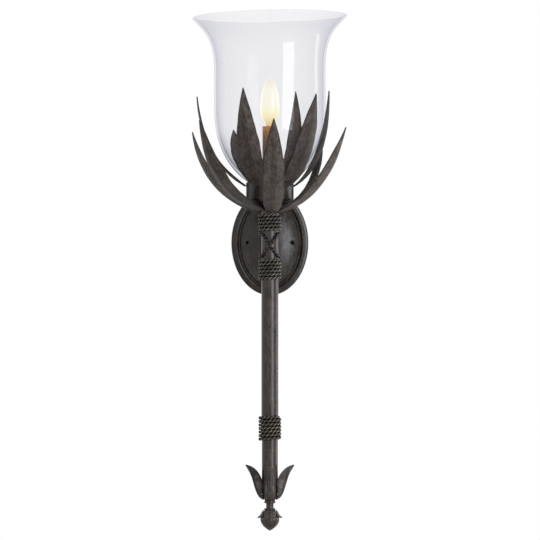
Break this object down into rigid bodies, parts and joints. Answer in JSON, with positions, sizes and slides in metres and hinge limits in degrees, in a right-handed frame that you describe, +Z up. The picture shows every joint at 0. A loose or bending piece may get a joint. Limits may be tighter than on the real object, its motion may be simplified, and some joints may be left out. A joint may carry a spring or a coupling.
{
  "type": "torch wall sconce",
  "caption": "Wall torch: stepped oval backplate, wire-wrapped stem, crown of forged leaves round a lift-out flared glass shade, lit candle lamp, and a leaf-and-bud finial below.",
  "frame": {"origin": "centre of the backplate's back face, on the wall", "axes": "+Z up along the torch, +Y into the wall, the front of the sconce faces -Y"},
  "size_m": [0.2348, 0.2809, 0.7716],
  "materials": {
    "wrought_iron": "brown-grey waxed iron with a soft sheen",
    "dark_iron": "darker brown-black iron",
    "forged_leaf": "hammered grey-brown iron with fine streaks",
    "iron_wire": "grey twisted iron wire with worn high spots",
    "steel": "zinc plated",
    "brass": "plain brass",
    "clear_glass": "clear hand-blown glass",
    "amber_sleeve": "amber-brown candle sleeve with fine rings",
    "socket_plastic": "black phenolic",
    "lit_glass": "warm lit bulb glass",
    "filament": "glowing filament mount",
    "wire_black": "black insulation",
    "wire_white": "white insulation",
    "green_screw": "green earth screw"
  },
  "bodies": {
    "sconce": {"backplate": "wrought_iron", "arm_tube": "wrought_iron", "arm_bushing": "steel", "arm_nipple": "steel", "arm_washer": "steel", "arm_lock_nut": "brass", "ground_screw": "green_screw", "stem_tube": "wrought_iron", "stem_plug": "steel", "stem_tail": "wrought_iron", "wrap_upper": "iron_wire", "wrap_middle": "iron_wire", "wrap_lower": "iron_wire", "cross_lashing": "iron_wire", "cup": "dark_iron", "cup_washer": "steel", "cup_lock_nut": "brass", "pipe_nipple": "steel", "leaf_upper_front_left": "forged_leaf", "leaf_upper_front_right": "forged_leaf", "leaf_upper_right": "forged_leaf", "leaf_upper_rear_right": "forged_leaf", "leaf_upper_rear_left": "forged_leaf", "leaf_upper_left": "forged_leaf", "leaf_lower_front": "forged_leaf", "leaf_lower_front_right": "forged_leaf", "leaf_lower_right": "forged_leaf", "leaf_lower_rear": "forged_leaf", "leaf_lower_left": "forged_leaf", "leaf_lower_front_left": "forged_leaf", "candle_sleeve": "amber_sleeve", "socket_bracket": "steel", "socket_body": "socket_plastic", "socket_shell": "brass", "socket_contact": "brass", "socket_rivet": "steel", "lead_live": "wire_black", "lead_neutral": "wire_white", "finial_leaf_front": "forged_leaf", "finial_leaf_right": "forged_leaf", "finial_leaf_back": "forged_leaf", "finial_leaf_left": "forged_leaf", "finial_stud": "steel", "finial_collar": "wrought_iron", "finial_neck": "wrought_iron", "finial_bud": "wrought_iron", "bud_petals": "forged_leaf"},
    "shade": {"glass_shade": "clear_glass"},
    "bulb": {"bulb_glass": "lit_glass", "bulb_base": "brass", "bulb_contact": "steel", "bulb_filament": "filament"}
  },
  "joints": [
    {"name": "shade_lift", "type": "slide", "parent": "sconce", "child": "shade", "axis": [0, 0, 1], "range_m": [0, 0.185]},
    {"name": "bulb_turn", "type": "hinge", "parent": "sconce", "child": "bulb", "pos_m": [0, -0.14, 0.15], "axis": [0, 0, 1], "range_deg": [0, 1080]}
  ]
}
